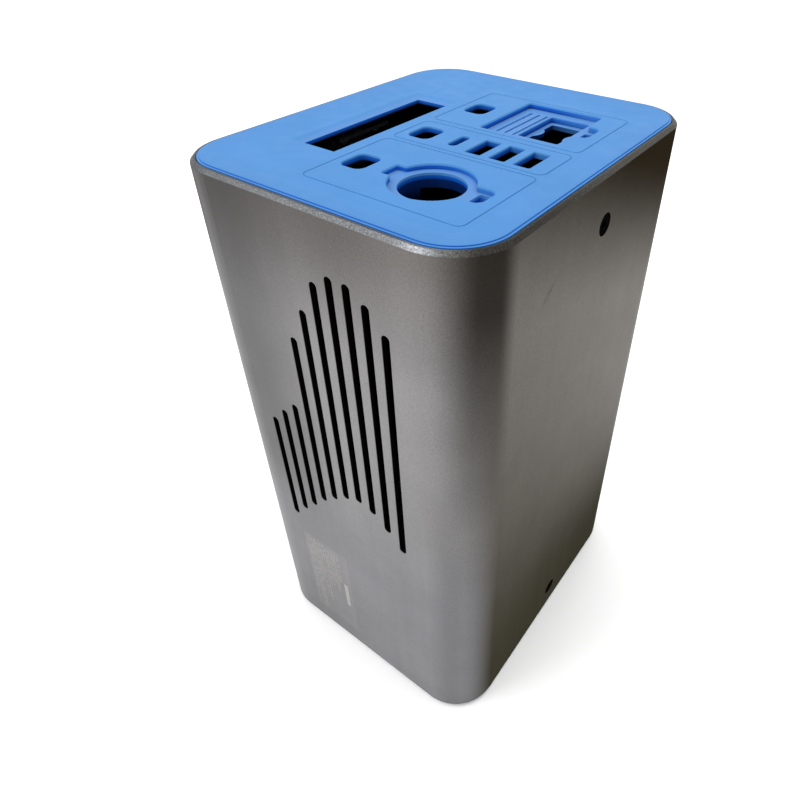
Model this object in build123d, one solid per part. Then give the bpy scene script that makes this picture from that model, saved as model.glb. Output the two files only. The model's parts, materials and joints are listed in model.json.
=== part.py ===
from build123d import *
import math
import os

os.makedirs("parts", exist_ok=True)

# Power station housing. Millimetres, +Z up, front (vent side) towards -Y.
# The origin is on the surface it stands on, under the middle of the housing.

# Aluminium sleeve
housing_width = 122.0
housing_depth = 146.0
sleeve_height = 239.0
corner_radius = 20.4
wall = 2.0
rim_chamfer = 1.2
edge_break = 0.3

# Heights from the standing surface up
foot_drop = 0.8
lip_thick = 1.2
lip_inset = 1.2
body_gap = 0.3
lip_top = foot_drop + lip_thick
sleeve_bottom = lip_top + body_gap
rim = sleeve_bottom + sleeve_height

# Vent field: parallel slots, each with its own lower and upper end above the sleeve's bottom
slot_width = 3.2
slot_pitch = 7.02
first_slot_x = -32.5
slot_spans = [
    (81.5, 140.0),
    (89.5, 147.5),
    (97.0, 154.0),
    (104.8, 188.1),
    (110.8, 201.9),
    (116.0, 214.8),
    (118.8, 219.1),
    (117.1, 219.1),
    (111.5, 214.8),
    (104.4, 207.1),
]

# Side screws, through both side walls
side_hole_radius = 4.05
side_hole_y = 1.8
upper_hole_z = rim - 18.2
lower_hole_z = sleeve_bottom + 13.8
screw_head_radius = 3.75
screw_head_thick = 2.2
screw_recess = 0.35
socket_across_flats = 2.5
socket_depth = 1.3
screw_shank_radius = 1.9
screw_length = 8.0
screw_edge = 0.4

# Blue top panel
fit_gap = 0.3
panel_width = housing_width - 2 * (wall + fit_gap)
panel_depth = housing_depth - 2 * (wall + fit_gap)
panel_radius = corner_radius - wall - fit_gap
ledge_width = 0.8
ledge_top = rim + 0.2
border_top = rim + 0.6
border_flat = 0.9
border_round = 0.2
dish_depth = 0.7
field = border_top - dish_depth
field_left, field_right = -43.5, 48.0
field_front, field_back = -62.0, 53.5
field_radius = 7.0
panel_thick = 2.2
underside = field - panel_thick
skirt_thick = 1.6
skirt_depth = 9.0
opening_round = 0.35
recess_round = 0.5

# Display window with a sloped lead-in on its left and back sides
window_left, window_right = -35.2, -19.6
window_front, window_back = -37.6, 25.4
window_radius = 0.6
lead_in_left, lead_in_back = -39.6, 30.6
lead_in_depth = 0.85

# Button holes, lamp slot and charging cut-outs
button_x = -7.0
button_width, button_depth, button_radius = 9.3, 11.6, 2.9
button_rows = (-38.3, -5.0, 28.4)
lamp_x, lamp_y = 7.1, -4.9
lamp_width, lamp_depth, lamp_radius = 3.3, 10.3, 1.6
charge_x = (17.3, 26.7, 36.1)
charge_y = -5.1
charge_width, charge_depth, charge_radius = 6.0, 13.6, 0.5

# Round socket: shallow recess with two side tabs, bore and guide tube
round_x, round_y = 20.8, -37.3
round_recess_radius = 13.6
round_recess_depth = 1.8
bore_radius = 10.7
tube_wall = 1.5
tube_bottom = rim - 6.8
tongue_bottom = rim - 26.0
tongue_half_angle = 31.0
left_tab_x = 3.9
left_tab_half = 4.0
right_tab_x = 41.1
right_tab_half = 4.9
tab_corner_radius = 1.0
right_tab_round = 2.6
hinge_slot_x, hinge_slot_width, hinge_slot_length = 37.7, 4.0, 7.6
hinge_slot_depth = 2.0
hinge_slot_radius = 1.2

# Mains socket: two-level recess with finger grooves and a waisted hole
mains_y = 28.9
mains_left, mains_right = 4.6, 35.7
mains_depth_y = 35.6
mains_step = 2.1
inner_left, inner_right = 17.1, 33.2
inner_y, inner_depth_y = 29.5, 25.2
inner_step = 2.0
mains_hole_width, mains_hole_depth = 12.4, 21.0
waist_radius = 6.0
waist_bite = 1.7
groove_x = (8.7, 12.1, 15.5)
groove_width, groove_deep, groove_radius = 1.1, 0.5, 0.5
mains_tab_x, mains_tab_half = 40.9, 5.8
mains_corner_radius = 1.2
mains_slot_x = 38.0
inner_corner_radius = 0.8
hole_corner_radius = 1.0

# Fine engraved outlines round the three groups of openings
outline_left, outline_right = -14.6, 45.6
outline_rows = ((-57.1, -17.0), (-14.7, 5.5), (8.6, 48.8))
outline_radius = 2.6
outline_width, outline_deep = 0.4, 0.2

# Brackets, nuts, bosses and their screws
bracket_width = 28.0
bracket_thick = 1.5
bracket_gap = 0.6
bracket_leg = 15.0
bracket_drop = 26.0
boss_radius = 3.2
boss_height = 6.0
boss_reach = 9.5
pilot_radius = 1.1
pilot_depth = 5.0
bracket_hole_radius = 1.6
bracket_margin = 3.0
tapping_head_radius = 2.4
tapping_head_thick = 1.6
tapping_head_round = 0.8
tapping_shank_radius = 1.05
tapping_length = 5.5
nut_flange_radius = 4.2
nut_flange_thick = 2.6
nut_neck_radius = 2.9
nut_bore_radius = 2.0
nut_hole_radius = 2.95
nut_neck_short = 0.1

# Base panel and feet
floor_thick = 3.0
floor_top = foot_drop + floor_thick
base_skirt_depth = 8.0
foot_radius = 7.0
foot_recess = 1.2
foot_inset = 17.0
foot_stem_radius = 2.0
foot_hole_radius = 2.15
foot_barb_radius = 2.9
foot_barb_tip = 1.2
foot_barb_height = 1.8
foot_edge_round = 0.5
foot_clearance = 0.1

# Small shared amounts
overlap = 0.5
clear_past = 1.0
tray_radius = 2.0
tab_tray_radius = 1.0
boss_margin = 0.8
same_point = 0.01


def slab(width, depth, radius, low, high, x=0.0, y=0.0):
    """Upright block with rounded corners between two heights."""
    return extrude(Pos(x, y, low) * RectangleRounded(width, depth, radius), amount=high - low)


def span_slab(left, right, front, back, radius, low, high):
    """The same block, given by its sides."""
    middle_x = (left + right) / 2
    middle_y = (front + back) / 2
    return slab(right - left, back - front, radius, low, high, middle_x, middle_y)


def round_bar(radius, low, high, x=0.0, y=0.0):
    """Upright cylinder between two heights."""
    return extrude(Pos(x, y, low) * Circle(radius), amount=high - low)


def side_bar(radius, start_x, end_x, y, z):
    """Cylinder along X."""
    length = end_x - start_x
    return Pos((start_x + end_x) / 2, y, z) * Rot(0, 90, 0) * Cylinder(radius, abs(length))


# ---- sleeve ----

def vent_slot(index):
    low, high = slot_spans[index]
    length = high - low
    middle = sleeve_bottom + (low + high) / 2
    x = first_slot_x + index * slot_pitch
    plane = Plane.XZ.offset(housing_depth / 2 - 2 * wall)
    outline = plane * Pos(x, middle) * SlotOverall(length, slot_width, rotation=90)
    return extrude(outline, amount=3 * wall)


def make_sleeve():
    body = slab(housing_width, housing_depth, corner_radius, sleeve_bottom, rim)
    body = chamfer(body.faces().sort_by(Axis.Z)[-1].edges(), rim_chamfer)
    body = chamfer(body.faces().sort_by(Axis.Z)[0].edges(), edge_break)
    inner_width = housing_width - 2 * wall
    inner_depth = housing_depth - 2 * wall
    body -= slab(inner_width, inner_depth, corner_radius - wall, sleeve_bottom - clear_past, rim + clear_past)
    for index in range(len(slot_spans)):
        body -= vent_slot(index)
    for height in (upper_hole_z, lower_hole_z):
        body -= side_bar(side_hole_radius, -housing_width, housing_width, side_hole_y, height)
    return body


# ---- top panel ----

def panel_blank():
    """Plate with a low ledge round a raised border, and a shallow dished field."""
    plate = slab(panel_width, panel_depth, panel_radius, underside, ledge_top)
    raised_width = panel_width - 2 * ledge_width
    raised_depth = panel_depth - 2 * ledge_width
    raised_radius = panel_radius - ledge_width
    raised = slab(raised_width, raised_depth, raised_radius, underside, border_top)
    raised = fillet(raised.faces().sort_by(Axis.Z)[-1].edges(), border_round)
    inset = 2 * (border_flat + border_round)
    upper = Pos(0, 0, border_top) * RectangleRounded(
        raised_width - inset, raised_depth - inset, raised_radius - inset / 2
    )
    field_x = (field_left + field_right) / 2
    field_y = (field_front + field_back) / 2
    lower = Pos(field_x, field_y, field) * RectangleRounded(
        field_right - field_left, field_back - field_front, field_radius
    )
    return plate + raised - loft([lower, upper], ruled=True)


def panel_underside():
    """Trays under the recesses, the guide tube, the skirt and the bosses, all below the plate."""
    parts = []
    margin = skirt_thick
    mains_front = mains_y - mains_depth_y / 2
    mains_back = mains_y + mains_depth_y / 2
    mains_floor = field - mains_step - margin
    parts.append(span_slab(mains_left - margin, mains_tab_x + margin, mains_front - margin,
                           mains_back + margin, tray_radius, mains_floor, underside))
    inner_floor = field - mains_step - inner_step - margin
    inner_front = inner_y - inner_depth_y / 2
    inner_back = inner_y + inner_depth_y / 2
    parts.append(span_slab(inner_left - margin, mains_tab_x + margin, inner_front - margin,
                           inner_back + margin, tray_radius, inner_floor, underside))
    round_floor = field - round_recess_depth - margin
    parts.append(round_bar(round_recess_radius + margin, round_floor, underside, round_x, round_y))
    slot_floor = round_floor - hinge_slot_depth
    parts.append(span_slab(left_tab_x - margin, round_x, round_y - left_tab_half - margin,
                           round_y + left_tab_half + margin, tab_tray_radius, round_floor, underside))
    parts.append(span_slab(round_x, right_tab_x + margin, round_y - right_tab_half - margin,
                           round_y + right_tab_half + margin, tab_tray_radius, slot_floor, underside))
    parts.append(guide_tube())
    parts.append(panel_skirt())
    for side in (-1, 1):
        for x, y in boss_places(side):
            parts.append(round_bar(boss_radius, underside - boss_height, underside, x, y))
    return parts


def guide_tube():
    """Short ring under the bore, with two long tongues at its left and right."""
    outer = bore_radius + tube_wall
    ring = round_bar(outer, tube_bottom, underside, round_x, round_y)
    long_tube = round_bar(outer, tongue_bottom, underside, round_x, round_y)
    half_height = outer * math.tan(math.radians(tongue_half_angle))
    wedge = make_face(Polyline((0, 0), (outer, half_height), (outer, -half_height), close=True))
    tongues = extrude(Pos(round_x, round_y, tongue_bottom) * wedge, amount=underside - tongue_bottom)
    turned = Pos(round_x, round_y, tongue_bottom) * Rot(0, 0, 180) * wedge
    tongues += extrude(turned, amount=underside - tongue_bottom)
    return ring + (long_tube & tongues)


def panel_skirt():
    """Wall under the panel's edge, open where the two brackets stand."""
    low = underside - skirt_depth
    wall_ring = slab(panel_width, panel_depth, panel_radius, low, underside)
    wall_ring -= slab(panel_width - 2 * skirt_thick, panel_depth - 2 * skirt_thick,
                      panel_radius - skirt_thick, low - clear_past, underside + clear_past)
    notch_width = bracket_width + 2 * clear_past
    wall_ring -= Pos(0, side_hole_y, low) * Box(2 * housing_width, notch_width, 2 * skirt_depth)
    return wall_ring


def boss_places(side):
    """Middles of the two bosses that carry a bracket, on the left (-1) or right (1) side."""
    x = side * (housing_width / 2 - wall - bracket_gap - bracket_leg + boss_radius + boss_margin)
    return [(x, side_hole_y - boss_reach), (x, side_hole_y + boss_reach)]


def lead_in():
    """Wedge that slopes down to the display window from its left and back sides."""
    front, right = window_front, window_right
    upper = make_face(Polyline((lead_in_left, front), (right, front), (right, lead_in_back),
                               (lead_in_left, lead_in_back), close=True))
    lower = make_face(Polyline((window_left, front), (right, front), (right, window_back),
                               (window_left, window_back), close=True))
    return loft([Pos(0, 0, field - lead_in_depth) * lower, Pos(0, 0, field) * upper], ruled=True)


def plain_openings():
    """Display window, button holes, lamp slot and charging cut-outs, right through the plate."""
    low, high = underside - clear_past, field + clear_past
    cuts = [span_slab(window_left, window_right, window_front, window_back, window_radius, low, high)]
    for y in button_rows:
        cuts.append(slab(button_width, button_depth, button_radius, low, high, button_x, y))
    cuts.append(slab(lamp_width, lamp_depth, lamp_radius, low, high, lamp_x, lamp_y))
    for x in charge_x:
        cuts.append(slab(charge_width, charge_depth, charge_radius, low, high, x, charge_y))
    return cuts


def round_recess():
    """Shallow pocket round the bore, with a tab at each side for a cover's ends."""
    floor = field - round_recess_depth
    outline = Circle(round_recess_radius)
    left_length = round_x - left_tab_x
    right_length = right_tab_x - round_x
    outline += Pos(-left_length / 2, 0) * Rectangle(left_length, 2 * left_tab_half)
    outline += Pos(right_length / 2, 0) * Rectangle(right_length, 2 * right_tab_half)
    outline = round_tab(outline, tab_corner_radius)
    return extrude(Pos(round_x, round_y, floor) * outline, amount=round_recess_depth + clear_past)


def round_tab(outline, corner):
    """Rounds the two corners at the right end more than the rest."""
    corners = outline.vertices().sort_by(Axis.X)
    outline = fillet(corners[-2:], right_tab_round)
    rest = [vertex for vertex in outline.vertices() if is_sharp(vertex, corners[:-2])]
    return fillet(rest, corner)


def is_sharp(vertex, corners):
    """True where the vertex is one of the given corners."""
    return any((vertex.center() - other.center()).length < same_point for other in corners)


def mains_recess():
    """Upper pocket with its side tab."""
    floor = field - mains_step
    length = mains_right - mains_left
    outline = Pos((mains_left + mains_right) / 2, mains_y) * Rectangle(length, mains_depth_y)
    tab_length = mains_tab_x - inner_right
    tab = Pos((mains_tab_x + inner_right) / 2, mains_y) * Rectangle(tab_length, 2 * mains_tab_half)
    outline = round_tab(outline + tab, mains_corner_radius)
    return extrude(Pos(0, 0, floor) * outline, amount=mains_step + clear_past)


def mains_lower_cuts():
    """Inner pocket, hinge slot, finger grooves and the waisted hole."""
    upper_floor = field - mains_step
    lower_floor = upper_floor - inner_step
    front = inner_y - inner_depth_y / 2
    back = inner_y + inner_depth_y / 2
    cuts = [span_slab(inner_left, inner_right, front, back, inner_corner_radius, lower_floor,
                      upper_floor + overlap)]
    hole_x = (inner_left + inner_right) / 2
    hole = RectangleRounded(mains_hole_width, mains_hole_depth, hole_corner_radius)
    waist_reach = mains_hole_width / 2 + waist_radius - waist_bite
    for side in (-1, 1):
        hole -= Pos(side * waist_reach, 0) * Circle(waist_radius)
    through = 2 * panel_thick
    cuts.append(extrude(Pos(hole_x, mains_y, lower_floor - through) * hole, amount=through + overlap))
    for x in groove_x:
        cuts.append(slab(groove_width, inner_depth_y, groove_radius, upper_floor - groove_deep,
                         upper_floor + overlap, x, mains_y))
    cuts.append(slab(hinge_slot_width, hinge_slot_length, hinge_slot_radius,
                     upper_floor - hinge_slot_depth, upper_floor + overlap, mains_slot_x, mains_y))
    return cuts


def round_lower_cuts():
    """Bore and hinge slot below the shallow pocket."""
    floor = field - round_recess_depth
    bore = round_bar(bore_radius, tongue_bottom - clear_past, floor + overlap, round_x, round_y)
    slot = slab(hinge_slot_width, hinge_slot_length, hinge_slot_radius, floor - hinge_slot_depth,
                floor + overlap, hinge_slot_x, round_y)
    return [bore, slot]


def outline_groove(front, back):
    half = outline_width / 2
    low = field - outline_deep
    outer = span_slab(outline_left - half, outline_right + half, front - half, back + half,
                      outline_radius + half, low, field + clear_past)
    inner = span_slab(outline_left + half, outline_right - half, front + half, back - half,
                      outline_radius - half, low - clear_past, field + 2 * clear_past)
    return outer - inner


def field_edges(body):
    """Edges in the plane of the dished field, without the field's own border."""
    flat = body.edges().filter_by_position(Axis.Z, field - same_point, field + same_point)
    margin = field_radius / 2
    inside = flat.filter_by_position(Axis.X, field_left + margin, field_right - margin)
    return inside.filter_by_position(Axis.Y, field_front + margin, field_back - margin)


def make_top_panel():
    body = panel_blank()
    for extra in panel_underside():
        body += extra
    for cut in [round_recess(), mains_recess()]:
        body -= cut
    body = fillet(field_edges(body), recess_round)
    for cut in plain_openings():
        body -= cut
    openings = [edge for edge in field_edges(body) if is_opening_edge(edge)]
    body = fillet(openings, opening_round)
    body -= lead_in()
    for cut in mains_lower_cuts() + round_lower_cuts():
        body -= cut
    for front, back in outline_rows:
        body -= outline_groove(front, back)
    for side in (-1, 1):
        for x, y in boss_places(side):
            body -= round_bar(pilot_radius, underside - boss_height - clear_past,
                              underside - boss_height + pilot_depth, x, y)
    return body


def is_opening_edge(edge):
    """True for edges of the buttons, lamp slot and charging cut-outs."""
    centre = edge.center()
    in_buttons = abs(centre.X - button_x) < button_width
    in_middle_row = centre.X > 0 and abs(centre.Y - charge_y) < charge_depth
    return in_buttons or in_middle_row


# ---- base panel and feet ----

def foot_places():
    x = housing_width / 2 - foot_inset
    y = housing_depth / 2 - foot_inset
    return {
        "front_left": (-x, -y),
        "front_right": (x, -y),
        "back_left": (-x, y),
        "back_right": (x, y),
    }


def make_base_panel():
    lip_width = housing_width - 2 * lip_inset
    lip_depth = housing_depth - 2 * lip_inset
    body = slab(lip_width, lip_depth, corner_radius - lip_inset, foot_drop, lip_top)
    body = chamfer(body.faces().sort_by(Axis.Z)[0].edges(), edge_break)
    top = floor_top + base_skirt_depth
    tub = slab(panel_width, panel_depth, panel_radius, lip_top - overlap, top)
    tub -= slab(panel_width - 2 * skirt_thick, panel_depth - 2 * skirt_thick,
                panel_radius - skirt_thick, floor_top, top + clear_past)
    notch_low = floor_top + clear_past
    notch_width = bracket_width + 2 * clear_past
    tub -= Pos(0, side_hole_y, notch_low + top / 2) * Box(2 * housing_width, notch_width, top)
    body += tub
    for side in (-1, 1):
        for x, y in boss_places(side):
            body += round_bar(boss_radius, floor_top - overlap, floor_top + boss_height, x, y)
            body -= round_bar(pilot_radius, floor_top + boss_height - pilot_depth,
                              floor_top + boss_height + clear_past, x, y)
    for x, y in foot_places().values():
        body -= round_bar(foot_radius + foot_clearance, foot_drop - clear_past,
                          foot_drop + foot_recess, x, y)
        body -= round_bar(foot_hole_radius, foot_drop, floor_top + clear_past, x, y)
    return body


def make_foot(x, y):
    """Push-in rubber foot: pad, stem through the floor, and a barb above it."""
    pad_top = foot_drop + foot_recess
    pad = round_bar(foot_radius, 0, pad_top, x, y)
    pad = fillet(pad.edges().filter_by(GeomType.CIRCLE).sort_by(Axis.Z)[0], foot_edge_round)
    stem = round_bar(foot_stem_radius, foot_drop, floor_top + overlap, x, y)
    barb_middle = floor_top + foot_barb_height / 2 + foot_clearance
    barb = Pos(x, y, barb_middle) * Cone(foot_barb_radius, foot_barb_tip, foot_barb_height)
    return pad + stem + barb


# ---- brackets, nuts and screws ----

def bracket_levels(level):
    """Height of the leg that lies on the bosses, and of the wall leg's far end."""
    if level == "upper":
        seat = underside - boss_height
        return seat, seat - bracket_thick, seat - bracket_drop + boss_height, upper_hole_z
    seat = floor_top + boss_height
    return seat, seat + bracket_thick, lower_hole_z + nut_flange_radius + bracket_margin, lower_hole_z


def make_bracket(level, side):
    seat, leg_face, far_end, hole_z = bracket_levels(level)
    outer_x = housing_width / 2 - wall - bracket_gap
    inner_x = outer_x - bracket_leg
    points = [
        (inner_x, seat),
        (outer_x, seat),
        (outer_x, far_end),
        (outer_x - bracket_thick, far_end),
        (outer_x - bracket_thick, leg_face),
        (inner_x, leg_face),
    ]
    profile = make_face(Plane.XZ * Polyline(*points, close=True))
    angle = extrude(profile, amount=bracket_width / 2, both=True)
    outer_bend = angle.edges().filter_by(Axis.Y).sort_by_distance((outer_x, 0, seat))[0]
    angle = fillet(outer_bend, bracket_thick)
    angle = Pos(0, side_hole_y, 0) * angle
    for x, y in boss_places(1):
        low = min(seat, leg_face) - clear_past
        angle -= round_bar(bracket_hole_radius, low, low + bracket_thick + 2 * clear_past, x, y)
    angle -= side_bar(nut_hole_radius, outer_x - 2 * bracket_thick, outer_x + clear_past,
                      side_hole_y, hole_z)
    return angle if side > 0 else angle.mirror(Plane.YZ)


def make_nut(level, side):
    """Press nut: a flange on the bracket's inner face and a neck in its hole."""
    hole_z = bracket_levels(level)[3]
    inner_face = housing_width / 2 - wall - bracket_gap - bracket_thick
    flange = side_bar(nut_flange_radius, inner_face - nut_flange_thick, inner_face, side_hole_y, hole_z)
    neck_end = inner_face + bracket_thick - nut_neck_short
    neck = side_bar(nut_neck_radius, inner_face - overlap, neck_end, side_hole_y, hole_z)
    reach = 2 * nut_flange_thick
    bore = side_bar(nut_bore_radius, inner_face - reach, inner_face + reach, side_hole_y, hole_z)
    nut = flange + neck - bore
    return nut if side > 0 else nut.mirror(Plane.YZ)


def make_side_screw(level, side):
    """Socket screw whose head fills the sleeve's hole and whose shank runs into the nut."""
    hole_z = bracket_levels(level)[3]
    head_face = housing_width / 2 - screw_recess
    head_back = head_face - screw_head_thick
    head = side_bar(screw_head_radius, head_back, head_face, side_hole_y, hole_z)
    head = fillet(head.edges().filter_by(GeomType.CIRCLE).sort_by(Axis.X)[-1], screw_edge)
    shank_end = head_back - screw_length
    shank = side_bar(screw_shank_radius, shank_end, head_back + overlap, side_hole_y, hole_z)
    shank = chamfer(shank.edges().filter_by(GeomType.CIRCLE).sort_by(Axis.X)[0], screw_edge)
    key_radius = socket_across_flats / math.sqrt(3)
    key = Plane.YZ.offset(head_face - socket_depth) * Pos(side_hole_y, hole_z) * RegularPolygon(key_radius, 6)
    screw = head + shank - extrude(key, amount=socket_depth + clear_past)
    return screw if side > 0 else screw.mirror(Plane.YZ)


def make_bracket_screws(level, side):
    """The two tapping screws that hold one bracket on its bosses."""
    seat, leg_face, _, _ = bracket_levels(level)
    into_boss = 1.0 if level == "upper" else -1.0
    solids = []
    for x, y in boss_places(side):
        head_far = leg_face - into_boss * tapping_head_thick
        head = round_bar(tapping_head_radius, min(leg_face, head_far), max(leg_face, head_far), x, y)
        rim_edge = head.edges().filter_by(GeomType.CIRCLE).sort_by(Axis.Z)
        head = fillet(rim_edge[0] if into_boss > 0 else rim_edge[-1], tapping_head_round)
        tip = leg_face + into_boss * tapping_length
        shank = round_bar(tapping_shank_radius, min(leg_face, tip), max(leg_face, tip), x, y)
        solids.append(head + shank)
    return Compound(children=solids)


def save(shape, name):
    shape.label = name
    export_step(shape, "parts/" + name + ".step")


side_names = {"left": -1, "right": 1}

save(make_sleeve(), "sleeve")
save(make_top_panel(), "top_panel")
save(make_base_panel(), "base_panel")
for corner, (x, y) in foot_places().items():
    save(make_foot(x, y), "foot_" + corner)
for level in ("upper", "lower"):
    for side_name, side in side_names.items():
        save(make_bracket(level, side), level + "_bracket_" + side_name)
        save(make_nut(level, side), level + "_nut_" + side_name)
        save(make_side_screw(level, side), level + "_side_screw_" + side_name)
        save(make_bracket_screws(level, side), level + "_bracket_screws_" + side_name)
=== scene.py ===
import json
import math
import bpy
from mathutils import Euler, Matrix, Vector


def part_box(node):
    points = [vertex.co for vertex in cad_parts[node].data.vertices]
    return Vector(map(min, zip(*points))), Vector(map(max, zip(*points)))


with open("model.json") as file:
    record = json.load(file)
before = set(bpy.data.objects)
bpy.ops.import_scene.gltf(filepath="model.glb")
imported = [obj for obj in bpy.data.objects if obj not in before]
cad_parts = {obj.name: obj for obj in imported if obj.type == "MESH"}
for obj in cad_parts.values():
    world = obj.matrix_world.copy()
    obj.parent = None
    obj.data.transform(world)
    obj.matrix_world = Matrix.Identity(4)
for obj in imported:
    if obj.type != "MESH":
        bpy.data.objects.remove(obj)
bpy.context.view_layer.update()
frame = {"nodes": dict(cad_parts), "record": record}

mm = 0.001
print("frame loaded:", len(frame["nodes"]), "nodes")


# shader helpers: each one adds a node or two to a material's tree and returns the output

def startMaterial(name):
    material = bpy.data.materials.new(name)
    material.use_nodes = True
    tree = material.node_tree
    tree.nodes.clear()
    output = tree.nodes.new("ShaderNodeOutputMaterial")
    shader = tree.nodes.new("ShaderNodeBsdfPrincipled")
    tree.links.new(shader.outputs["BSDF"], output.inputs["Surface"])
    place = tree.nodes.new("ShaderNodeTexCoord").outputs["Object"]
    return material, tree, shader, place


def plug(tree, socket, value):
    # a socket gets a link, anything else is a plain value
    if isinstance(value, bpy.types.NodeSocket):
        tree.links.new(value, socket)
    else:
        socket.default_value = value


def maths(tree, operation, *values):
    node = tree.nodes.new("ShaderNodeMath")
    node.operation = operation
    for index, value in enumerate(values):
        plug(tree, node.inputs[index], value)
    return node.outputs[0]


def times(tree, *values):
    product = values[0]
    for value in values[1:]:
        product = maths(tree, "MULTIPLY", product, value)
    return product


def ramp(tree, value, start, end, low=0.0, high=1.0, smooth=True):
    # low where the value is at start, high where it is at end
    node = tree.nodes.new("ShaderNodeMapRange")
    node.interpolation_type = "SMOOTHSTEP" if smooth else "LINEAR"
    for name, number in (("From Min", start), ("From Max", end), ("To Min", low), ("To Max", high)):
        plug(tree, node.inputs[name], number)
    plug(tree, node.inputs["Value"], value)
    return node.outputs["Result"]


def fade(tree, value, start, end, low=0.0, high=1.0, smooth=True):
    # a ramp over a distance, with its start and end in millimetres
    return ramp(tree, value, start * mm, end * mm, low, high, smooth)


def vary(tree, texture, low=0.0, high=1.0, smooth=True):
    # a cloud texture hardly leaves 0.3 to 0.7
    return ramp(tree, texture, 0.3, 0.7, low, high, smooth)


def easeTo(tree, factor, tone):
    # 1 where the factor is 0, the tone where it is 1
    return ramp(tree, factor, 0.0, 1.0, 1.0, tone, False)


def blendColours(tree, factor, first, second):
    node = tree.nodes.new("ShaderNodeMix")
    node.data_type = "RGBA"
    plug(tree, node.inputs[0], factor)
    for socket, colour in ((node.inputs[6], first), (node.inputs[7], second)):
        plug(tree, socket, colour if isinstance(colour, bpy.types.NodeSocket) else (*colour, 1))
    return node.outputs[2]


def scaleColour(tree, colour, amount):
    node = tree.nodes.new("ShaderNodeVectorMath")
    node.operation = "SCALE"
    tree.links.new(colour, node.inputs[0])
    plug(tree, node.inputs["Scale"], amount)
    return node.outputs["Vector"]


def stretched(tree, place, stretch):
    node = tree.nodes.new("ShaderNodeMapping")
    tree.links.new(place, node.inputs["Vector"])
    node.inputs["Scale"].default_value = stretch
    return node.outputs["Vector"]


def cloud(tree, place, size, detail=2.0, roughness=0.5):
    # size is the width of one blotch in millimetres
    node = tree.nodes.new("ShaderNodeTexNoise")
    tree.links.new(place, node.inputs["Vector"])
    node.inputs["Scale"].default_value = 1 / (size * mm)
    node.inputs["Detail"].default_value = detail
    node.inputs["Roughness"].default_value = roughness
    return node.outputs["Fac"]


def addBump(tree, shader, height, distance, strength):
    node = tree.nodes.new("ShaderNodeBump")
    node.inputs["Distance"].default_value = distance * mm
    node.inputs["Strength"].default_value = strength
    tree.links.new(height, node.inputs["Height"])
    tree.links.new(node.outputs["Normal"], shader.inputs["Normal"])


def split(tree, place):
    node = tree.nodes.new("ShaderNodeSeparateXYZ")
    tree.links.new(place, node.inputs[0])
    return node.outputs[0], node.outputs[1], node.outputs[2]


def within(tree, value, low, high):
    # 1 between two distances in millimetres
    above = maths(tree, "GREATER_THAN", value, low * mm)
    below = maths(tree, "LESS_THAN", value, high * mm)
    return times(tree, above, below)


def inBox(tree, across, along, box):
    # 1 inside a rectangle (left, right, near, far in millimetres)
    left, right, near, far = box
    return times(tree, within(tree, across, left, right), within(tree, along, near, far))


def wear(nodes, material):
    for name in nodes:
        mesh = frame["nodes"][name].data
        mesh.materials.clear()
        mesh.materials.append(material)
        for polygon in mesh.polygons:
            polygon.material_index = 0


# sleeve: sand-blasted and anodised aluminium
# places are millimetres from the middle of the standing surface, turns are degrees round a corner

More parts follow.
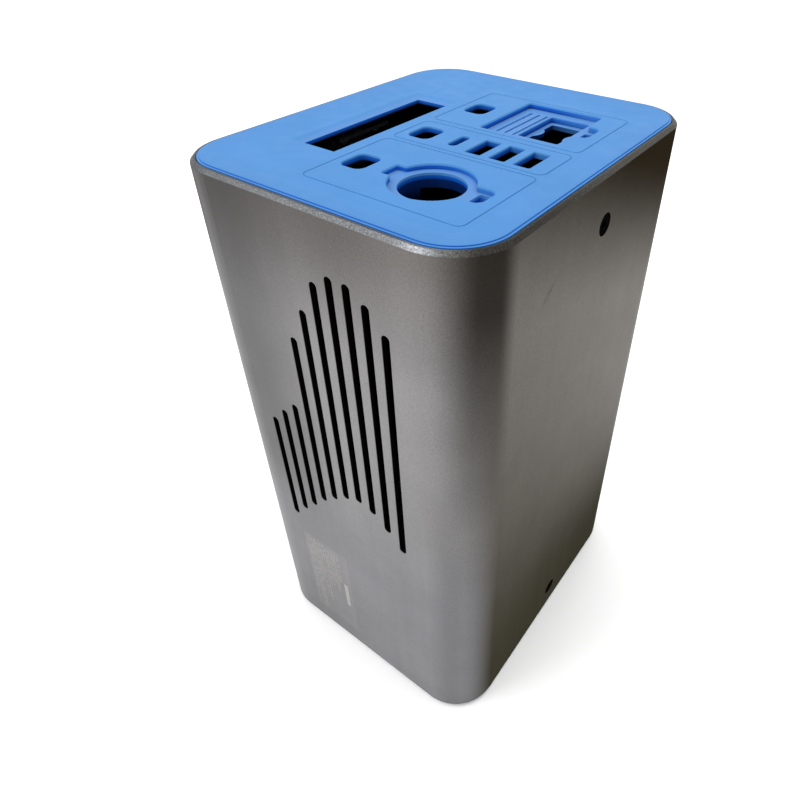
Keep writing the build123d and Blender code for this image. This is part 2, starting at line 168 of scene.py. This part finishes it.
sleeveLook = {
    "cornerRadius": 20.4,
    # the greys and tones below are painted reflection and shade, standing in for the surroundings mirrored
    # in the metal
    "top": (0.090, 0.083, 0.080), "middle": (0.212, 0.207, 0.210), "low": (0.187, 0.186, 0.198),
    "topHeights": (242, 188), "lowHeights": (135, 75),
    "leftTone": 0.44, "leftAcross": (8, -36), "leftHeights": (70, 130, 0.3, 1.0),
    "topRightTone": 1.5, "topRightAcross": (14, 46), "topRightHeights": (205, 232),
    "rightCorner": {"tones": (0.72, 0.88), "heights": (100, 180), "along": (0, 30), "turn": (0, 34)},
    "leftCorner": {"tones": (0.36, 0.8), "heights": (190, 220), "along": (-50, 30), "turn": (4, 46)},
    # the side colours are painted reflection and shade: a bright band between a darker foot and a much
    # darker top
    "sideBright": (0.116, 0.106, 0.094), "sideLow": (0.038, 0.034, 0.023), "sideTop": (0.017, 0.0125, 0.007),
    "bandFoot": 20, "bandTop": 185, "bandSlope": -1.07,     # the side's painted highlight band falls towards the back
    "shadeHeights": (188, 251), "shadeSlope": 0.4,          # and so does the painted shade above it
    "sideStart": (80, 200, 42.0, 8.0), "sideEnd": 92.0, "sideBack": (80.0, 10.0), "sideShadeDulling": 0.45,
    # the edge colour is a painted dark band where the right front corner turns into the side
    "edgeBandShade": (0.010, 0.0085, 0.0065), "edgeTurn": (14.0, 56.0), "edgeEnd": (94.0, 72.0),
    "edgeHeights": (130, 222, 0.0, 0.88), "edgeBack": (45, 0), "edgeShadeDulling": 0.85,
    "dullTurn": (6.0, 34.0), "dullBack": (-38, -56),
    # the rim greys are painted light: darker along the front, lighter at the front corner and darker along
    # the side
    "rimFront": 0.071, "rimCorner": 0.174, "rimAcross": (34, 45),
    "rimSide": (0.028, 0.053), "rimAlong": (-40, 15), "rimTurn": (10.0, 56.0), "rimBack": (10, 45),
    "rimTint": (0.97, 1.0, 1.05), "rimSideTint": (1.04, 1.0, 0.88),
    "rimSpeckle": (0.6, 1.5), "rimDepth": (1.25, 1.10), "rimShadeDulling": 0.5,
    # the inside colour is painted shade, nearly black, for the slot walls and the inside
    "inside": (0.0022, 0.0022, 0.0022), "skin": (-0.10, -0.22), "rimHeight": 1.3, "footHeight": 0.4,
    "roughness": (0.39, 0.415), "roughSize": 12.0, "insideRoughness": 0.5,
    "speckleSize": 0.45, "speckle": 0.16, "grainBump": 0.05, "grainStrength": 0.6,
    "blotchSize": 38.0, "blotch": 0.05,
    "drawnSize": 5.0, "drawnStretch": (1, 1, 0.02), "drawn": 0.02,
    "scuffs": [
        {"face": "right", "centre": (-32.2, 215.9), "angle": 38.0, "reach": (6.8, 1.2), "tone": 0.70},
        {"face": "right", "centre": (-34.8, 213.6), "angle": 40.0, "reach": (6.0, 2.4), "tone": 0.84},
        {"face": "front", "centre": (5.6, 95.0), "angle": -8.0, "reach": (7.0, 3.0), "tone": 0.91},
    ],
    "scuffPatch": 1.4, "scuffPatches": (0.35, 0.6, 0.4, 1.0),
}


def skinDepth(tree, x, y, high):
    # distance outwards from the sleeve's outline, in metres, negative inside
    radius = sleeveLook["cornerRadius"] * mm
    awayX = maths(tree, "SUBTRACT", maths(tree, "ABSOLUTE", x), high.x - radius)
    awayY = maths(tree, "SUBTRACT", maths(tree, "ABSOLUTE", y), high.y - radius)
    squareX = maths(tree, "POWER", maths(tree, "MAXIMUM", awayX, 0.0), 2.0)
    squareY = maths(tree, "POWER", maths(tree, "MAXIMUM", awayY, 0.0), 2.0)
    reach = maths(tree, "SQRT", maths(tree, "ADD", squareX, squareY))
    straight = maths(tree, "MINIMUM", maths(tree, "MAXIMUM", awayX, awayY), 0.0)
    return maths(tree, "SUBTRACT", maths(tree, "ADD", reach, straight), radius)


# rating print: faint unreadable marks in rows that run upwards, on the front at the lower left

printLook = {
    "left": -31.0, "right": -4.6, "low": 13.5, "top": 71.6,
    "skin": 0.3,                         # how far behind the front face the ink may lie
    "lineWidth": 0.35, "rowPitch": 1.75, "rowFill": 0.3, "firstRow": -30.0, "lastRow": -9.5,
    "rowStart": 1.5, "rowEnd": 14.0, "rowEndSpread": 26.0, "longRows": (-27, -15), "longer": 24.0,
    "dashSize": 1.6, "dashStretch": (0.5, 0.5, 1.6), "dashGap": 0.46,
    "bar": (-8.9, -6.6, 32.0, 49.0),
    "ground": 0.10, "ink": 0.42, "outlineInk": 0.16, "barInk": 0.75,
    "colour": (0.36, 0.33, 0.30), "barColour": (0.43, 0.41, 0.38),
}


def printRows(tree, place, x, z):
    look = printLook
    row = maths(tree, "DIVIDE", maths(tree, "SUBTRACT", x, look["left"] * mm), look["rowPitch"] * mm)
    chance = tree.nodes.new("ShaderNodeTexWhiteNoise")
    chance.noise_dimensions = "1D"
    tree.links.new(maths(tree, "FLOOR", row), chance.inputs["W"])
    shortest = (look["top"] - look["rowEnd"]) * mm
    rowEnd = maths(tree, "MULTIPLY_ADD", chance.outputs["Value"], -look["rowEndSpread"] * mm, shortest)
    rowEnd = maths(tree, "SUBTRACT", rowEnd, fade(tree, x, *look["longRows"], look["longer"] * mm, 0.0))
    fromMiddle = maths(tree, "ABSOLUTE", maths(tree, "SUBTRACT", maths(tree, "FRACT", row), 0.5))
    inRow = maths(tree, "LESS_THAN", fromMiddle, look["rowFill"])
    dashes = cloud(tree, stretched(tree, place, look["dashStretch"]), look["dashSize"], 1.0)
    dashes = maths(tree, "GREATER_THAN", dashes, look["dashGap"])
    pastEnd = maths(tree, "GREATER_THAN", z, rowEnd)
    beforeStart = maths(tree, "LESS_THAN", z, (look["top"] - look["rowStart"]) * mm)
    rows = within(tree, x, look["firstRow"], look["lastRow"])
    return times(tree, inRow, dashes, pastEnd, rows, beforeStart)


def addPrint(tree, colour, place, x, y, z):
    look = printLook
    line = look["lineWidth"]
    onFront = maths(tree, "LESS_THAN", y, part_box("sleeve")[0].y + look["skin"] * mm)
    left, right, low, top = (look[side] for side in ("left", "right", "low", "top"))
    whole = inBox(tree, x, z, (left, right, low, top))
    middle = inBox(tree, x, z, (left + line, right - line, low + line, top - line))
    outline = maths(tree, "SUBTRACT", whole, middle)
    ink = times(tree, printRows(tree, place, x, z), look["ink"])
    ink = maths(tree, "ADD", ink, times(tree, outline, look["outlineInk"]))
    ink = maths(tree, "ADD", ink, times(tree, whole, look["ground"]))
    bar = times(tree, inBox(tree, x, z, look["bar"]), look["barInk"])
    colour = blendColours(tree, times(tree, ink, onFront), colour, look["colour"])
    return blendColours(tree, times(tree, bar, onFront), colour, look["barColour"])


def turned(tree, across, along):
    # how far round a corner a point is, in degrees: 0 on one flat side, 90 on the next
    angle = maths(tree, "ARCTAN2", maths(tree, "MAXIMUM", across, 0.0), maths(tree, "MAXIMUM", along, 0.0))
    return maths(tree, "DEGREES", angle)


def cornerTurns(tree, x, y, high):
    radius = sleeveLook["cornerRadius"] * mm
    centreX, centreY = high.x - radius, high.y - radius
    pastRight = maths(tree, "SUBTRACT", x, centreX)
    pastLeft = maths(tree, "SUBTRACT", times(tree, x, -1.0), centreX)
    pastFront = maths(tree, "SUBTRACT", times(tree, y, -1.0), centreY)
    pastBack = maths(tree, "SUBTRACT", y, centreY)
    frontTurn = turned(tree, pastRight, pastFront)
    backTurn = turned(tree, pastBack, pastRight)
    leftTurn = turned(tree, pastLeft, pastFront)
    return frontTurn, backTurn, leftTurn


def cornerTone(tree, y, z, turn, corner):
    # the corner tones are painted reflection and shade and belong to the front only, so they fade out before
    # the back
    tone = fade(tree, z, *corner["heights"], *corner["tones"])
    tone = fade(tree, y, *corner["along"], tone, 1.0)
    return ramp(tree, turn, *corner["turn"], 1.0, tone)


def frontColour(tree, x, y, z, frontTurn, leftTurn):
    # painted reflection and shade: the grey is darkest at the top and a little darker at the foot, darker
    # towards the left, lighter at the top right and darker round the front corners
    look = sleeveLook
    colour = blendColours(tree, fade(tree, z, *look["topHeights"]), look["top"], look["middle"])
    colour = blendColours(tree, fade(tree, z, *look["lowHeights"]), colour, look["low"])
    leftward = times(tree, fade(tree, x, *look["leftAcross"]), fade(tree, z, *look["leftHeights"]))
    colour = scaleColour(tree, colour, easeTo(tree, leftward, look["leftTone"]))
    rightward = times(tree, fade(tree, x, *look["topRightAcross"]), fade(tree, z, *look["topRightHeights"]))
    colour = scaleColour(tree, colour, easeTo(tree, rightward, look["topRightTone"]))
    colour = scaleColour(tree, colour, cornerTone(tree, y, z, frontTurn, look["rightCorner"]))
    return scaleColour(tree, colour, cornerTone(tree, y, z, leftTurn, look["leftCorner"]))


def rimTones(tree, x, y, frontTurn):
    # the turned-over rim keeps its own greys, with painted light: darker along the front, lighter at the
    # front corner and darker along the side
    look = sleeveLook
    tone = fade(tree, x, *look["rimAcross"], look["rimFront"], look["rimCorner"])
    sideTone = fade(tree, y, *look["rimAlong"], *look["rimSide"])
    past = maths(tree, "MAXIMUM", ramp(tree, frontTurn, *look["rimTurn"]), fade(tree, y, *look["rimBack"]))
    tone = maths(tree, "MULTIPLY_ADD", past, maths(tree, "SUBTRACT", sideTone, tone), tone)
    return tone, past


def sleeveTone(tree, x, y, z, high):
    look = sleeveLook
    frontTurn, backTurn, leftTurn = cornerTurns(tree, x, y, high)
    colour = frontColour(tree, x, y, z, frontTurn, leftTurn)
    # painted reflection and shade on the right side: the bright band, the dark below it and the darker top
    bandEnd = maths(tree, "MULTIPLY_ADD", y, look["bandSlope"], look["bandTop"] * mm)
    risen = ramp(tree, z, look["bandFoot"] * mm, bandEnd)
    fallen = fade(tree, maths(tree, "MULTIPLY_ADD", y, look["shadeSlope"], z), *look["shadeHeights"])
    side = blendColours(tree, risen, look["sideLow"], look["sideBright"])
    side = blendColours(tree, fallen, side, look["sideTop"])
    sideStart = fade(tree, z, *look["sideStart"])
    onSide = times(tree, ramp(tree, frontTurn, sideStart, look["sideEnd"]),
                   ramp(tree, backTurn, *look["sideBack"]))
    colour = blendColours(tree, onSide, colour, side)
    # painted shade: a dark band where the right front corner turns into the side
    edge = times(tree, ramp(tree, frontTurn, *look["edgeTurn"]), ramp(tree, frontTurn, *look["edgeEnd"]),
                 fade(tree, z, *look["edgeHeights"], False), fade(tree, y, *look["edgeBack"]))
    colour = blendColours(tree, edge, colour, look["edgeBandShade"])
    # painted shade: where the side and the corners are painted dark the metal is dulled, so its reflections
    # don't lighten them again
    bright = times(tree, risen, maths(tree, "SUBTRACT", 1.0, fallen))
    shadeDulling = times(tree, onSide, easeTo(tree, bright, look["sideShadeDulling"]))
    shadeDulling = maths(tree, "MAXIMUM", shadeDulling, times(tree, edge, look["edgeShadeDulling"]))
    leftDull = times(tree, ramp(tree, leftTurn, *look["dullTurn"]),
                     fade(tree, z, *look["leftCorner"]["heights"]), fade(tree, y, *look["dullBack"]))
    shadeDulling = maths(tree, "MAXIMUM", shadeDulling, leftDull)
    return colour, shadeDulling, frontTurn


def scuff(tree, place, x, y, z, mark):
    # a soft dark rub on one face, which fades out at its reach along and across
    low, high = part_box("sleeve")
    radius = sleeveLook["cornerRadius"] * mm
    onFront = mark["face"] == "front"
    across, up = mark["centre"]
    length, width = mark["reach"]
    acrossAway = maths(tree, "SUBTRACT", x if onFront else y, across * mm)
    upAway = maths(tree, "SUBTRACT", z, up * mm)
    angle = math.radians(mark["angle"])
    cosine, sine = math.cos(angle), math.sin(angle)
    along = maths(tree, "ADD", times(tree, acrossAway, cosine), times(tree, upAway, sine))
    beside = maths(tree, "SUBTRACT", times(tree, upAway, cosine), times(tree, acrossAway, sine))
    onLine = times(tree, fade(tree, maths(tree, "ABSOLUTE", along), length, 0.0),
                   fade(tree, maths(tree, "ABSOLUTE", beside), width, 0.0))
    if onFront:
        onFace = maths(tree, "LESS_THAN", y, low.y + radius / 2)
    else:
        onFace = maths(tree, "GREATER_THAN", x, high.x - radius / 2)
    patches = cloud(tree, place, sleeveLook["scuffPatch"], 2.0)
    patches = ramp(tree, patches, *sleeveLook["scuffPatches"])
    return easeTo(tree, times(tree, onLine, onFace, patches), mark["tone"])


def paintSleeve():
    look = sleeveLook
    material, tree, shader, place = startMaterial("sandblastedAnodised")
    low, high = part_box("sleeve")
    x, y, z = split(tree, place)
    colour, shadeDulling, frontTurn = sleeveTone(tree, x, y, z, high)
    for mark in look["scuffs"]:
        colour = scaleColour(tree, colour, scuff(tree, place, x, y, z, mark))
    speckle = cloud(tree, place, look["speckleSize"], 3.0, 0.6)
    # the rim
    rimTone, past = rimTones(tree, x, y, frontTurn)
    rimTone = times(tree, rimTone, vary(tree, speckle, *look["rimSpeckle"], False))
    rimStart, rimEnd = (high.z - depth * mm for depth in look["rimDepth"])
    onRim = ramp(tree, z, rimStart, rimEnd, smooth=False)
    tint = blendColours(tree, past, look["rimTint"], look["rimSideTint"])
    colour = blendColours(tree, onRim, colour, blendColours(tree, rimTone, (0, 0, 0), tint))
    shadeDulling = times(tree, shadeDulling, ramp(tree, onRim, 0.0, 1.0, 1.0, look["rimShadeDulling"]))
    colour = addPrint(tree, colour, place, x, y, z)
    # blasted grain, broad blotches and faint lines from drawing the section
    blotch = cloud(tree, place, look["blotchSize"], 3.0)
    drawn = cloud(tree, stretched(tree, place, look["drawnStretch"]), look["drawnSize"], 2.0)
    tone = times(tree, vary(tree, speckle, 1 - look["speckle"], 1 + look["speckle"], False),
                 vary(tree, blotch, 1 - look["blotch"], 1 + look["blotch"]),
                 vary(tree, drawn, 1 - look["drawn"], 1 + look["drawn"]))
    colour = scaleColour(tree, colour, tone)
    # painted shade: slot walls and the inside are painted nearly black, as they lie in shadow
    belowSkin = fade(tree, skinDepth(tree, x, y, high), *look["skin"], smooth=False)
    belowRim = maths(tree, "LESS_THAN", z, high.z - look["rimHeight"] * mm)
    aboveFoot = maths(tree, "GREATER_THAN", z, low.z + look["footHeight"] * mm)
    hidden = times(tree, belowSkin, belowRim, aboveFoot)
    colour = blendColours(tree, hidden, colour, look["inside"])
    plug(tree, shader.inputs["Base Color"], colour)
    shadeDulled = maths(tree, "MAXIMUM", hidden, shadeDulling)
    plug(tree, shader.inputs["Metallic"], maths(tree, "SUBTRACT", 1.0, shadeDulled))
    shader.inputs["Specular IOR Level"].default_value = 0.0
    rough = vary(tree, cloud(tree, place, look["roughSize"], 3.0), *look["roughness"])
    rough = maths(tree, "ADD", rough, times(tree, hidden, look["insideRoughness"]))
    plug(tree, shader.inputs["Roughness"], rough)
    addBump(tree, shader, speckle, look["grainBump"], look["grainStrength"])
    wear(["sleeve"], material)


paintSleeve()
print("sleeve painted")


# top panel: satin moulded blue plastic, with depths in millimetres below its flat field

panelLook = {
    "colour": (0.050, 0.176, 0.405), "border": (0.050, 0.170, 0.395),
    # the lip colour is a painted highlight on the slightly rounded edges
    "lipHighlight": (0.065, 0.235, 0.52), "floorColour": (0.075, 0.180, 0.41),
    # the wall colours are painted shade on the recess and step walls, darker at the foot
    "wallShade": (0.004, 0.085, 0.47), "wallFootShade": (0.001, 0.014, 0.090),
    # the deep colour is painted shade deep inside the openings
    "deepShade": (0.0004, 0.001, 0.004),
    "fieldDrop": 0.7, "lip": 0.45,
    "floorDepths": (0.25, 0.6), "floorShare": 0.8,
    "wallDepths": (1.2, 2.3), "deepDepths": (2.6, 9.0),
    "borderRise": (-0.02, -0.12, 0.0, 0.85),
    "litAcross": (12, 38, 0.05, 0.55),   # front walls catch more light towards the right
    "recess": 1.9,                       # depth of the recesses that have openings in their floors
    "lowered": [(7.9, 33.7, 16.0, 42.6), (35.4, 40.4, -41.6, -33.0), (35.7, 40.4, 24.6, 33.2)],
    "boreMargin": 0.6,
    "upright": (0.75, 0.25), "forward": (-0.5, -0.9),
    "roughness": (0.44, 0.53), "roughSize": 6.0, "gloss": 0.07,
    "mottleSize": 30.0, "mottle": 0.025,
    "grainSize": 0.35, "grainBump": 0.012, "grainStrength": 0.5,
}


def inBore(tree, x, y):
    # 1 inside the round socket's bore and its rounded edge
    bore = next(mount for mount in frame["record"]["mounts"] if mount["kind"] == "bore")
    squares = []
    for value, centre in zip((x, y), bore["pos_m"]):
        away = maths(tree, "ABSOLUTE", maths(tree, "SUBTRACT", value, centre))
        squares.append(maths(tree, "POWER", away, 2.0))
    away = maths(tree, "SQRT", maths(tree, "ADD", *squares))
    return maths(tree, "LESS_THAN", away, (bore["dims"]["r_mm"] + panelLook["boreMargin"]) * mm)


def paintPanel():
    look = panelLook
    material, tree, shader, place = startMaterial("satinBluePlastic")
    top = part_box("top_panel")[1].z
    field = top - look["fieldDrop"] * mm
    x, y, z = split(tree, place)
    normal = tree.nodes.new("ShaderNodeNewGeometry").outputs["Normal"]
    towardsBack, upward = split(tree, normal)[1:]
    upright = ramp(tree, maths(tree, "ABSOLUTE", upward), *look["upright"])
    depth = maths(tree, "SUBTRACT", field, z)
    colour = blendColours(tree, ramp(tree, z, field, top), look["colour"], look["border"])
    sunk = times(tree, fade(tree, depth, *look["floorDepths"]), look["floorShare"])
    colour = blendColours(tree, sunk, colour, look["floorColour"])
    # inside a recess the depth counts from the recess floor
    bore = inBore(tree, x, y)
    lowered = bore
    for box in look["lowered"]:
        lowered = maths(tree, "MAXIMUM", lowered, inBox(tree, x, y, box))
    depth = maths(tree, "SUBTRACT", depth, times(tree, lowered, look["recess"] * mm))
    # moulded edges are slightly rounded: a painted highlight on the lip, then painted shade on the wall that
    # darkens with depth
    wall = blendColours(tree, fade(tree, depth, *look["wallDepths"]), look["wallShade"], look["wallFootShade"])
    # painted highlight on the front-facing walls, stronger towards the right
    lit = times(tree, ramp(tree, towardsBack, *look["forward"]), fade(tree, x, *look["litAcross"]),
                maths(tree, "SUBTRACT", 1.0, bore))
    wall = blendColours(tree, lit, wall, look["lipHighlight"])
    lip = times(tree, upright, fade(tree, depth, 0.0, 0.1))
    colour = blendColours(tree, lip, colour, look["lipHighlight"])
    belowLip = fade(tree, depth, look["lip"], 2 * look["lip"])
    colour = blendColours(tree, times(tree, upright, belowLip), colour, wall)
    # painted shade on the upright step up to the raised border
    border = times(tree, upright, fade(tree, depth, *look["borderRise"]))
    colour = blendColours(tree, border, colour, look["wallShade"])
    # painted shade: deep inside the openings the colour turns nearly black
    colour = blendColours(tree, fade(tree, depth, *look["deepDepths"]), colour, look["deepShade"])
    mottled = cloud(tree, place, look["mottleSize"], 3.0)
    colour = scaleColour(tree, colour, vary(tree, mottled, 1 - look["mottle"], 1 + look["mottle"]))
    plug(tree, shader.inputs["Base Color"], colour)
    rough = vary(tree, cloud(tree, place, look["roughSize"], 3.0), *look["roughness"])
    plug(tree, shader.inputs["Roughness"], rough)
    shader.inputs["Specular IOR Level"].default_value = look["gloss"]
    grain = cloud(tree, place, look["grainSize"], 2.0)
    addBump(tree, shader, grain, look["grainBump"], look["grainStrength"])
    wear(["top_panel"], material)


paintPanel()
print("top panel painted")


# base panel, feet, brackets, nuts and screws

smallFinishes = {
    "sparkBlackPlastic": {
        "nodes": ["base_panel"], "dark": (0.007, 0.007, 0.008), "light": (0.018, 0.018, 0.019),
        "size": 0.5, "metal": 0.0, "gloss": 0.3, "rough": (0.55, 0.7), "bump": 0.04,
    },
    "footRubber": {
        "nodes": ["foot_front_left", "foot_front_right", "foot_back_left", "foot_back_right"],
        "dark": (0.012, 0.012, 0.012), "light": (0.026, 0.026, 0.026),
        "size": 0.9, "metal": 0.0, "gloss": 0.3, "rough": (0.75, 0.9), "bump": 0.03,
    },
    "dippedSteel": {
        "nodes": ["upper_bracket_left", "upper_bracket_right", "lower_bracket_left", "lower_bracket_right"],
        "dark": (0.010, 0.010, 0.011), "light": (0.030, 0.030, 0.030),
        "size": 1.4, "metal": 0.0, "gloss": 0.4, "rough": (0.35, 0.5), "bump": 0.03,
    },
    "zincPlate": {
        "nodes": ["upper_nut_left", "upper_nut_right", "lower_nut_left", "lower_nut_right",
                  "upper_bracket_screws_left", "upper_bracket_screws_right",
                  "lower_bracket_screws_left", "lower_bracket_screws_right"],
        "dark": (0.42, 0.41, 0.36), "light": (0.62, 0.62, 0.60),
        "size": 1.1, "metal": 1.0, "gloss": 0.5, "rough": (0.28, 0.42), "bump": 0.01,
    },
    "blackOxideScrew": {
        "nodes": ["upper_side_screw_left", "upper_side_screw_right",
                  "lower_side_screw_left", "lower_side_screw_right"],
        "dark": (0.0010, 0.0010, 0.0010), "light": (0.0035, 0.0035, 0.0032),
        "size": 0.7, "metal": 0.0, "gloss": 0.0, "rough": (0.55, 0.7), "bump": 0.01,
    },
}


def paintSmallParts():
    for name, look in smallFinishes.items():
        material, tree, shader, place = startMaterial(name)
        fine = cloud(tree, place, look["size"], 4.0, 0.6)
        colour = blendColours(tree, vary(tree, fine), look["dark"], look["light"])
        plug(tree, shader.inputs["Base Color"], colour)
        shader.inputs["Metallic"].default_value = look["metal"]
        shader.inputs["Specular IOR Level"].default_value = look["gloss"]
        plug(tree, shader.inputs["Roughness"], vary(tree, cloud(tree, place, 4.0), *look["rough"]))
        addBump(tree, shader, fine, look["bump"], 0.6)
        wear(look["nodes"], material)


paintSmallParts()
print("small parts painted")


# floor, light and camera

studio = {
    "floorSize": 8.0, "floorLight": (0.93, 0.93, 0.93), "floorDark": (0.9207, 0.9207, 0.9207),
    "floorBlotch": 60.0, "floorRoughness": 0.9,
    "worldStrength": 1.15,
    "aim": (0.0, 0.0, 0.12),
    "lights": {
        "key": {"power": 12.0, "size": 0.9, "place": (-0.75, -0.85, 1.15)},
        "top": {"power": 5.0, "size": 0.7, "place": (0.1, 0.35, 1.2)},
    },
    "sensor": 36.0, "lens": 28.69, "shift": (-0.0778, -0.0695), "nearest": 0.01,
    "cameraPlace": (0.13323, -0.17877, 0.31701), "cameraTurn": (52.839, -0.303, 35.761),
}


def makeFloor():
    half = studio["floorSize"] / 2
    mesh = bpy.data.meshes.new("floor")
    corners = [(-half, -half, 0), (half, -half, 0), (half, half, 0), (-half, half, 0)]
    mesh.from_pydata(corners, [], [(0, 1, 2, 3)])
    floor = bpy.data.objects.new("floor", mesh)
    bpy.context.scene.collection.objects.link(floor)
    material, tree, shader, place = startMaterial("paleFloor")
    blotch = cloud(tree, place, studio["floorBlotch"])
    colour = blendColours(tree, blotch, studio["floorLight"], studio["floorDark"])
    plug(tree, shader.inputs["Base Color"], colour)
    shader.inputs["Roughness"].default_value = studio["floorRoughness"]
    mesh.materials.append(material)


def makeSoftbox(name, power, size, place):
    data = bpy.data.lights.new(name, "AREA")
    data.size = size
    data.energy = power
    light = bpy.data.objects.new(name, data)
    light.location = place
    light.rotation_euler = (Vector(studio["aim"]) - Vector(place)).to_track_quat("-Z", "Y").to_euler()
    bpy.context.scene.collection.objects.link(light)


def makeWorld():
    world = bpy.data.worlds.new("studio")
    world.use_nodes = True
    background = world.node_tree.nodes["Background"]
    background.inputs["Color"].default_value = (1, 1, 1, 1)
    background.inputs["Strength"].default_value = studio["worldStrength"]
    bpy.context.scene.world = world


def makeCamera():
    data = bpy.data.cameras.new("camera")
    data.sensor_width = studio["sensor"]
    data.lens = studio["lens"]
    data.shift_x, data.shift_y = studio["shift"]
    data.clip_start = studio["nearest"]
    camera = bpy.data.objects.new("camera", data)
    camera.location = studio["cameraPlace"]
    camera.rotation_euler = Euler([math.radians(angle) for angle in studio["cameraTurn"]])
    bpy.context.scene.collection.objects.link(camera)
    bpy.context.scene.camera = camera


makeFloor()
for lightName, lightLook in studio["lights"].items():
    makeSoftbox(lightName, **lightLook)
makeWorld()
makeCamera()
bpy.context.scene.view_settings.view_transform = "Standard"
print("stage ready")
